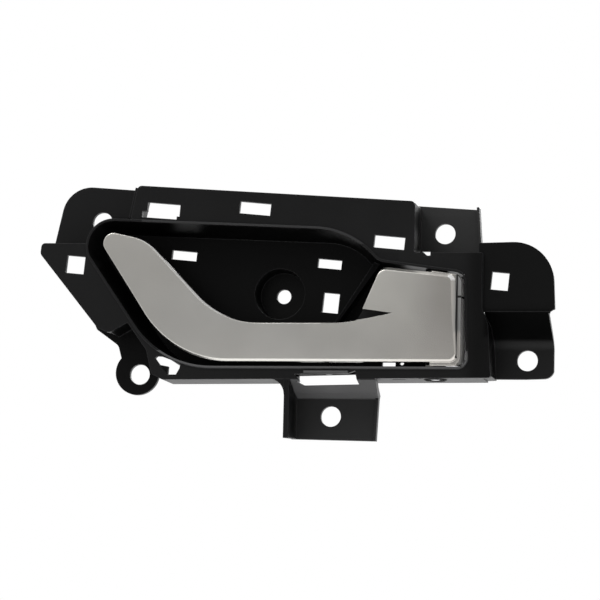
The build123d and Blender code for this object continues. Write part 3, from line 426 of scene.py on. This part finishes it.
housing_black = plastic(
    "housing black",
    dark=(0.0042, 0.0042, 0.0043, 1),
    light=(0.0058, 0.0058, 0.006, 1),
    # Painted highlight: the edges are far paler than the face
    wear_and_highlight_edge_tone=(0.026, 0.026, 0.027, 1),
    gloss=(0.36, 0.44), grain=1500.0, specular=0.14, edge_radius=0.0005,
    zones=(
        # The shade of the finger bowl and of the centre screw's recess
        ((-78, -29.5, -36), (92, -12.3, 34), 2.3, (0.0008, 0.0008, 0.0008, 1)),
        ((-12, -12.4, -12), (12, -2, 12), 1.0, (0.0006, 0.0006, 0.0006, 1)),
        # Painted shade on the right end, and darker painted shade on its slope
        ((91, -35, -46), (131, -7, 46), 7.0, (0.0018, 0.0018, 0.0018, 1)),
        ((97, -34, -19), (123, -13, -10.5), 5.0, (0.0003, 0.0003, 0.0003, 1)),
        # Painted light on the bottom tab's plate, and a painted reflection on its shelf
        ((6, -16, -72), (50, -9, -46), 1.5, (0.02, 0.02, 0.0202, 1)),
        ((9.6, -31, -47), (48, -11.8, -40.6), 0.6, (0.125, 0.125, 0.126, 1)),
        # Painted highlights along the rim's lower and upper edge
        ((-66, -34, -42), (91, -32.5, -28), 0.25, (0.1, 0.1, 0.101, 1)),
        ((-60, -34, 20), (60, -32.5, 45), 0.25, (0.035, 0.035, 0.0355, 1)),
        # Painted light on the top tab, painted shade on the ring ear's neck, painted light on the
        # right tab
        ((57, -17, 16), (95, -9, 45), 2.0, (0.036, 0.036, 0.036, 1)),
        ((-84, -20, -52), (-46, -4, -18), 3.0, (0.0012, 0.0012, 0.0012, 1)),
        ((97, -16, -42), (124, -9, -24), 4.0, (0.011, 0.011, 0.011, 1)),
    ),
    painted_shade_zones=(
        # Painted shade, by less shine: the bowl's floor, the centre recess and the wall beside
        # the pad
        ((-78, -14.5, -36), (92, -12.3, 34), 2.0, 0.4),
        ((-12, -11.5, -12), (12, -2, 12), 1.0, 0.2),
        ((28, -31, -22), (56, -13, 15), 1.5, 0.6),
        # Painted shade, by less shine: the right end's slope, the ring ear's neck and the right
        # end
        ((97, -34, -20), (123, -13, -10.5), 4.0, 0.6),
        ((-84, -20, -50), (-46, -4, -18), 3.0, 0.4),
        ((93, -35, -46), (131, -7, 46), 7.0, 0.3),
    ),
)
carrier_black = plastic(
    "carrier black",
    dark=(0.0026, 0.0026, 0.0026, 1),
    light=(0.0036, 0.0036, 0.0036, 1),
    wear_and_highlight_edge_tone=(0.007, 0.007, 0.007, 1),
    gloss=(0.4, 0.5), grain=1900.0, specular=0.15,
)
satin_chrome = metal(
    "satin chrome",
    dark=(0.50, 0.485, 0.452, 1),
    light=(0.55, 0.542, 0.515, 1),
    gloss=(0.2, 0.27), lines=700.0, stretch=(0.25, 1.0, 1.0),
    line_depth=0.000003, edge_radius=0.0006,
    zones=(
        # Painted shade and light: the pad darkens slowly to the right, and is palest at its upper
        # left
        ((84, -40, -40), (92, -10, 20), 42.0, (0.46, 0.44, 0.41, 1)),
        ((40, -40, 2), (48, -33, 12), 30.0, (0.66, 0.645, 0.60, 1)),
        # Painted light on the drum strip, and painted shade along its left side
        ((85.2, -31, -40), (92, -10, 20), 1.5, (0.95, 0.94, 0.92, 1)),
        ((83.9, -34, -18), (85.5, -32.6, 8), 2.5, (0.27, 0.27, 0.265, 1)),
        # Painted shade in the dark line between pad and strip, and a dark line across the strip
        ((83.3, -34.7, -31), (83.95, -32.8, 6.0), 0.15, (0.012, 0.012, 0.012, 1)),
        ((83.6, -34, -4.2), (90, -10, -3.4), 0.2, (0.01, 0.01, 0.01, 1)),
    ),
    # Painted light: matt beside the pad's right edge and fully matt on the drum strip, so that
    # they look pale
    matt_painted_light_zones=(
        ((83.6, -34.4, -40), (92, -10, 20), 0.3, 0.25),
        ((85.2, -31, -40), (92, -10, 20), 1.0, 0.0),
    ),
    # Painted highlight: matt and pale where the surface faces right, forward and up, along the
    # arm's inner edge
    painted_highlight_facing=((0.62, -0.48, 0.62), 0.0, (0.98, 0.975, 0.96, 1)),
    sharp_zone=((24, -40, -16), (58, -20, -6.5), 1.5, 0.0001),
)
pin_steel = metal(
    "turned pin steel", (0.50, 0.50, 0.51, 1), (0.62, 0.62, 0.63, 1),
    gloss=(0.22, 0.34), lines=1200.0, stretch=(0.1, 0.1, 3.0),
)
spring_steel = metal(
    "drawn spring wire", (0.22, 0.21, 0.20, 1), (0.32, 0.31, 0.30, 1),
    gloss=(0.28, 0.42), lines=900.0, stretch=(1.0, 1.0, 4.0),
)
zinc_plate = metal(
    "zinc plated sheet", (0.55, 0.53, 0.44, 1), (0.66, 0.64, 0.58, 1),
    gloss=(0.3, 0.45), lines=500.0, stretch=(1.0, 0.4, 1.0),
)
screw_zinc = metal(
    "screw zinc", (0.52, 0.51, 0.46, 1), (0.66, 0.65, 0.62, 1),
    gloss=(0.25, 0.38), lines=1500.0, stretch=(1.0, 1.0, 1.0),
)
acetal = plastic(
    "natural acetal", (0.70, 0.69, 0.64, 1), (0.78, 0.77, 0.73, 1), (0.8, 0.79, 0.75, 1),
    gloss=(0.4, 0.5), grain=1800.0, specular=0.5,
)
nylon = plastic(
    "natural nylon", (0.62, 0.60, 0.52, 1), (0.70, 0.68, 0.60, 1), (0.74, 0.72, 0.66, 1),
    gloss=(0.3, 0.42), grain=1400.0, specular=0.5,
)
buffer_rubber = plastic(
    "buffer rubber",
    dark=(0.012, 0.012, 0.012, 1),
    light=(0.02, 0.02, 0.02, 1),
    wear_and_highlight_edge_tone=(0.028, 0.028, 0.028, 1),
    gloss=(0.7, 0.8), grain=900.0, specular=0.3, grain_depth=0.00005,
)

FINISHES = {
    "housing": housing_black,
    "lever_shell": satin_chrome,
    "lever_core": carrier_black,
    "pivot_pin": pin_steel,
    "pin_retainer": spring_steel,
    "upper_bush": acetal,
    "lower_bush": acetal,
    "return_spring": spring_steel,
    "spring_sleeve": acetal,
    "release_arm": zinc_plate,
    "arm_screws": screw_zinc,
    "shell_screws": screw_zinc,
    "cable_anchor": nylon,
    "rest_buffers": buffer_rubber,
    "stop_buffer": buffer_rubber,
}
for name, finish in FINISHES.items():
    held = nodes[name].data.materials
    held.clear()
    held.append(finish)


# Repeated details: ejector marks on the hidden side of the housing, threads on the screws

def new_geometry_tree(name, inputs):
    """A geometry node tree with named inputs {name: (socket kind, default)}."""
    tree = bpy.data.node_groups.new(name, "GeometryNodeTree")
    tree.interface.new_socket("Geometry", in_out="INPUT", socket_type="NodeSocketGeometry")
    for label, (kind, value) in inputs.items():
        socket = tree.interface.new_socket(label, in_out="INPUT", socket_type=kind)
        if value is not None:
            socket.default_value = value
    tree.interface.new_socket("Geometry", in_out="OUTPUT", socket_type="NodeSocketGeometry")
    entry = tree.nodes.new("NodeGroupInput")
    entry.location = (-900, 0)
    result = tree.nodes.new("NodeGroupOutput")
    result.location = (900, 0)
    return tree, entry, result


def close_tree(tree, shape, entry, result):
    """Sets a shape on every point, turned by the Turn input, and ends the tree."""
    link = tree.links.new
    spots = add_node(tree, "GeometryNodeInstanceOnPoints", (200, 0))
    link(entry.outputs["Geometry"], spots.inputs["Points"])
    link(shape, spots.inputs["Instance"])
    link(entry.outputs["Turn"], spots.inputs["Rotation"])
    whole = add_node(tree, "GeometryNodeRealizeInstances", (450, 0))
    link(spots.outputs["Instances"], whole.inputs["Geometry"])
    finish = add_node(tree, "GeometryNodeSetMaterial", (650, 0))
    link(whole.outputs["Geometry"], finish.inputs["Geometry"])
    link(entry.outputs["Finish"], finish.inputs["Material"])
    link(finish.outputs["Geometry"], result.inputs["Geometry"])


def ejector_mark_tree():
    """A round witness mark of an ejector pin: a flat disc that stands a little proud."""
    tree, entry, result = new_geometry_tree("ejector marks", {
        "Radius": ("NodeSocketFloat", 0.0025),
        "Thickness": ("NodeSocketFloat", 0.00028),
        "Turn": ("NodeSocketVector", (0.0, 0.0, 0.0)),
        "Finish": ("NodeSocketMaterial", None),
    })
    disc = add_node(tree, "GeometryNodeMeshCylinder", (-500, 0), Vertices=40)
    tree.links.new(entry.outputs["Radius"], disc.inputs["Radius"])
    tree.links.new(entry.outputs["Thickness"], disc.inputs["Depth"])
    close_tree(tree, disc.outputs["Mesh"], entry, result)
    return tree


def thread_tree():
    """The ridge of a self-tapping thread, wound from each point along its own Z."""
    tree, entry, result = new_geometry_tree("screw threads", {
        "Radius": ("NodeSocketFloat", 0.0012),
        "Length": ("NodeSocketFloat", 0.004),
        "Turns": ("NodeSocketFloat", 6.0),
        "Ridge": ("NodeSocketFloat", 0.0002),
        "Turn": ("NodeSocketVector", (0.0, 0.0, 0.0)),
        "Finish": ("NodeSocketMaterial", None),
    })
    link = tree.links.new
    path = add_node(tree, "GeometryNodeCurveSpiral", (-600, 100), Resolution=24)
    link(entry.outputs["Radius"], path.inputs["Start Radius"])
    link(entry.outputs["Radius"], path.inputs["End Radius"])
    link(entry.outputs["Length"], path.inputs["Height"])
    link(entry.outputs["Turns"], path.inputs["Rotations"])
    ridge = add_node(tree, "GeometryNodeCurvePrimitiveCircle", (-600, -200), Resolution=5)
    link(entry.outputs["Ridge"], ridge.inputs["Radius"])
    swept = add_node(tree, "GeometryNodeCurveToMesh", (-200, 0), Fill_Caps=True)
    link(path.outputs["Curve"], swept.inputs["Curve"])
    link(ridge.outputs["Curve"], swept.inputs["Profile Curve"])
    close_tree(tree, swept.outputs["Mesh"], entry, result)
    return tree


def grown_piece(name, points, tree, values, body):
    """Runs a geometry tree on points, keeps its result as a plain mesh and puts it on a body."""
    seed_mesh = bpy.data.meshes.new(name + "_points")
    seed_mesh.from_pydata([tuple(p) for p in points], [], [])
    seed = bpy.data.objects.new(name + "_points", seed_mesh)
    bpy.context.scene.collection.objects.link(seed)
    modifier = seed.modifiers.new(name, "NODES")
    modifier.node_group = tree
    for item in tree.interface.items_tree:
        if item.in_out == "INPUT" and item.name in values:
            modifier[item.identifier] = values[item.name]
    bpy.context.view_layer.update()
    evaluated = seed.evaluated_get(bpy.context.evaluated_depsgraph_get())
    mesh = bpy.data.meshes.new_from_object(evaluated)
    mesh.name = name
    mesh.materials.clear()
    mesh.materials.append(values["Finish"])
    for face in mesh.polygons:
        face.material_index = 0
    seed.modifiers.remove(modifier)
    bpy.data.objects.remove(seed)
    made = bpy.data.objects.new(name, mesh)
    bpy.context.scene.collection.objects.link(made)
    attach(made, body)


# Turns of a tree's own Z: along the model's Y, and left upright
LYING = (math.radians(90), 0, 0)
UPRIGHT = (0.0, 0.0, 0.0)

MARK_RADIUS = 0.0025
MARK_PROUD = 0.0002
MARK_SUNK = 0.00008
MARK_CLEARANCE = MARK_RADIUS * 1.3
MARK_FLATNESS = 0.00002
MARK_ROWS = [-0.03, -0.02, 0.008, 0.018, 0.03]
MARK_COLUMNS = [-0.085, -0.06, -0.035, -0.012, 0.012, 0.032, 0.052]

# Where the rays towards the housing's hidden side start, and how square the face they hit is
BEHIND_ALL = 0.1
FACES_BACK = 0.999


def behind(x, z):
    """How deep the housing's hidden side lies at a place, or None at a hole or a slope."""
    start, ahead = Vector((x, BEHIND_ALL, z)), Vector((0, -1, 0))
    hit, spot, normal, _ = nodes["housing"].ray_cast(start, ahead)
    return spot.y if hit and normal.y > FACES_BACK else None


def flat_spots():
    """Places on the hidden side where a whole ejector mark lies on one flat face."""
    spots = []
    steps = (-MARK_CLEARANCE, 0, MARK_CLEARANCE)
    for x in MARK_COLUMNS:
        for z in MARK_ROWS:
            depths = [behind(x + dx, z + dz) for dx in steps for dz in steps]
            if None not in depths and max(depths) - min(depths) < MARK_FLATNESS:
                spots.append(Vector((x, depths[0] + MARK_PROUD / 2 - MARK_SUNK / 2, z)))
    return spots


grown_piece("ejector_marks", flat_spots(), ejector_mark_tree(), {
    "Radius": MARK_RADIUS,
    "Thickness": MARK_PROUD + MARK_SUNK,
    "Turn": LYING,
    "Finish": housing_black,
}, "housing")

SHELL_THREAD_STARTS = [
    (-0.062, -0.0286, 0.008),
    (-0.014, -0.0286, -0.024),
    (0.046, -0.0286, -0.024),
]
ARM_THREAD_STARTS = [(0.08186, -0.02196, -0.0285), (0.06514, -0.02196, -0.0285)]
threads = thread_tree()
grown_piece("shell_screw_threads", SHELL_THREAD_STARTS, threads, {
    "Radius": 0.0012,
    "Length": 0.0034,
    "Turns": 5.0,
    "Ridge": 0.0002,
    "Turn": LYING,
    "Finish": screw_zinc,
}, "lever")
grown_piece("arm_screw_threads", ARM_THREAD_STARTS, threads, {
    "Radius": 0.0014,
    "Length": 0.003,
    "Turns": 4.0,
    "Ridge": 0.00022,
    "Turn": UPRIGHT,
    "Finish": screw_zinc,
}, "lever")


# A smooth copy takes the place of the return spring, and it doesn't wind. In the handle the
# spring
# winds up when the lever is pulled: its lower leg goes with the lever, its upper leg stays with
# the housing, and the coils turn between them

MERGE_DISTANCE = 1e-6


def winding_spring():
    """A smooth copy of the return spring, which takes the place of the imported one."""
    mesh = nodes["return_spring"].data.copy()
    mesh.name = "winding_spring"
    shape = bmesh.new()
    shape.from_mesh(mesh)
    bmesh.ops.remove_doubles(shape, verts=shape.verts, dist=MERGE_DISTANCE)
    for face in shape.faces:
        face.smooth = True
    shape.to_mesh(mesh)
    shape.free()
    made = bpy.data.objects.new("winding_spring", mesh)
    bpy.context.scene.collection.objects.link(made)
    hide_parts("return_spring")
    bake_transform(made)


winding_spring()


# Floor, cards, lamps, world and camera

# A square's corners, in half widths and half heights
SQUARE = ((-1, -1), (1, -1), (1, 1), (-1, 1))

# Cards that only reflections see: centre, half width, half height and brightness. The one
# under the handle is black
CARDS = {
    "front_card_left": ((-1.3, -3.0, 0.3), (0.75, 0, 0), (0, 0, 1.1), 0.56),
    "front_card_right": ((0.4, -3.0, 0.3), (0.95, 0, 0), (0, 0, 1.1), 0.45),
    "right_card": ((1.3, -0.8, 0.3), (0, 1.1, 0), (0, 0, 0.6), 0.8),
    "under_card": ((0.0, 0.09, -0.25), (0.8, 0, 0), (0, 0.115, 0), 0.0),
    "low_card": ((0.0, -0.32, -0.26), (0.7, 0, 0), (0, 0.3, 0), 1.8),
}

# Area lamps that aim at the origin: place, width, height and power in watts
LAMPS = {
    "key": ((-1.0, -1.3, 1.5), 1.2, 0.8, 20.0),
    "rear": ((0.7, 1.5, 0.9), 1.4, 1.0, 26.0),
}


def rays_that_see_white(tree, place):
    """1 for a camera, glossy or transmission ray, so that these see the white background."""
    path = add_node(tree, "ShaderNodeLightPath", place)
    either = add_node(tree, "ShaderNodeMath", (place[0] + 200, place[1]), operation="MAXIMUM")
    any_ray = add_node(tree, "ShaderNodeMath", (place[0] + 400, place[1]), operation="MAXIMUM")
    tree.links.new(path.outputs["Is Camera Ray"], either.inputs[0])
    tree.links.new(path.outputs["Is Glossy Ray"], either.inputs[1])
    tree.links.new(either.outputs["Value"], any_ray.inputs[0])
    tree.links.new(path.outputs["Is Transmission Ray"], any_ray.inputs[1])
    return any_ray.outputs["Value"]


def plane(name, corners):
    """One flat face of the studio, which isn't part of the handle."""
    mesh = bpy.data.meshes.new(name)
    mesh.from_pydata(corners, [], [tuple(range(len(corners)))])
    made = bpy.data.objects.new(name, mesh)
    bpy.context.scene.collection.objects.link(made)
    return made


def lay_floor():
    """A pale floor that glows towards the camera and reflections."""
    corners = [(x * FLOOR_REACH, y * FLOOR_REACH, FLOOR_LEVEL) for x, y in SQUARE]
    floor = plane("studio_floor", corners)
    material, tree, shader = new_material("pale floor")
    shader.inputs["Base Color"].default_value = FLOOR_TONE
    shader.inputs["Roughness"].default_value = 0.9
    glow = add_node(tree, "ShaderNodeEmission", (300, -300), Color=WHITE)
    lifted = add_node(tree, "ShaderNodeMath", (100, -300), operation="MULTIPLY")
    lifted.inputs[1].default_value = FLOOR_GLOW
    tree.links.new(rays_that_see_white(tree, (-600, -300)), lifted.inputs[0])
    tree.links.new(lifted.outputs["Value"], glow.inputs["Strength"])
    both = add_node(tree, "ShaderNodeAddShader", (800, 0))
    tree.links.new(shader.outputs[0], both.inputs[0])
    tree.links.new(glow.outputs[0], both.inputs[1])
    tree.links.new(both.outputs[0], tree.nodes["Material Output"].inputs["Surface"])
    floor.data.materials.append(material)


def hang_card(name, centre, across, up, brightness):
    """A studio card that only reflections see."""
    card = plane(name, [tuple(centre + x * across + y * up) for x, y in SQUARE])
    card.visible_camera = False
    card.visible_diffuse = False
    card.visible_shadow = False
    card.visible_transmission = False
    material, tree, shader = new_material(name)
    tree.nodes.remove(shader)
    colour = (brightness, brightness, brightness, 1)
    glow = add_node(tree, "ShaderNodeEmission", (0, 0), Color=colour, Strength=1.0)
    tree.links.new(glow.outputs[0], tree.nodes["Material Output"].inputs["Surface"])
    card.data.materials.append(material)


def hang_lamp(name, place, width, height, power):
    """A rectangular soft lamp that aims at the origin."""
    lamp = bpy.data.lights.new(name, "AREA")
    lamp.shape = "RECTANGLE"
    lamp.size = width
    lamp.size_y = height
    lamp.energy = power
    holder = bpy.data.objects.new(name, lamp)
    holder.location = place
    holder.rotation_euler = (-place).to_track_quat("-Z", "Y").to_euler()
    bpy.context.scene.collection.objects.link(holder)


def light_the_world():
    """A dim ambient light, with a white background for what sees it."""
    world = bpy.data.worlds.new("studio")
    world.use_nodes = True
    tree = world.node_tree
    ambient = tree.nodes["Background"]
    ambient.inputs["Strength"].default_value = AMBIENT_LEVEL
    ambient.inputs["Color"].default_value = WHITE
    seen = add_node(tree, "ShaderNodeBackground", (0, -200), Color=WHITE, Strength=1.0)
    chosen = add_node(tree, "ShaderNodeMixShader", (250, 0))
    tree.links.new(rays_that_see_white(tree, (-700, 200)), chosen.inputs[0])
    tree.links.new(ambient.outputs[0], chosen.inputs[1])
    tree.links.new(seen.outputs[0], chosen.inputs[2])
    tree.links.new(chosen.outputs[0], tree.nodes["World Output"].inputs["Surface"])
    bpy.context.scene.world = world


def place_camera():
    """The camera at the photograph's viewing angle."""
    towards = Vector((
        math.sin(VIEW_AZIMUTH) * math.cos(VIEW_ELEVATION),
        -math.cos(VIEW_AZIMUTH) * math.cos(VIEW_ELEVATION),
        math.sin(VIEW_ELEVATION),
    ))
    camera = bpy.data.cameras.new("photograph")
    camera.sensor_fit = "HORIZONTAL"
    camera.sensor_width = SENSOR
    camera.lens = LENS
    camera.clip_start = CLIP_START
    aimed = towards.to_track_quat("Z", "Y").to_matrix().to_4x4()
    moved = Matrix.Translation(VIEW_AIM + VIEW_DISTANCE * towards)
    holder = bpy.data.objects.new("photograph", camera)
    holder.matrix_world = moved @ (aimed @ Matrix.Rotation(VIEW_ROLL, 4, "Z"))
    bpy.context.scene.collection.objects.link(holder)
    bpy.context.scene.camera = holder


lay_floor()
for name, (centre, across, up, brightness) in CARDS.items():
    hang_card(name, Vector(centre), Vector(across), Vector(up), brightness)
for name, (place, width, height, power) in LAMPS.items():
    hang_lamp(name, Vector(place), width, height, power)
light_the_world()
place_camera()
bpy.context.scene.view_settings.view_transform = "Standard"
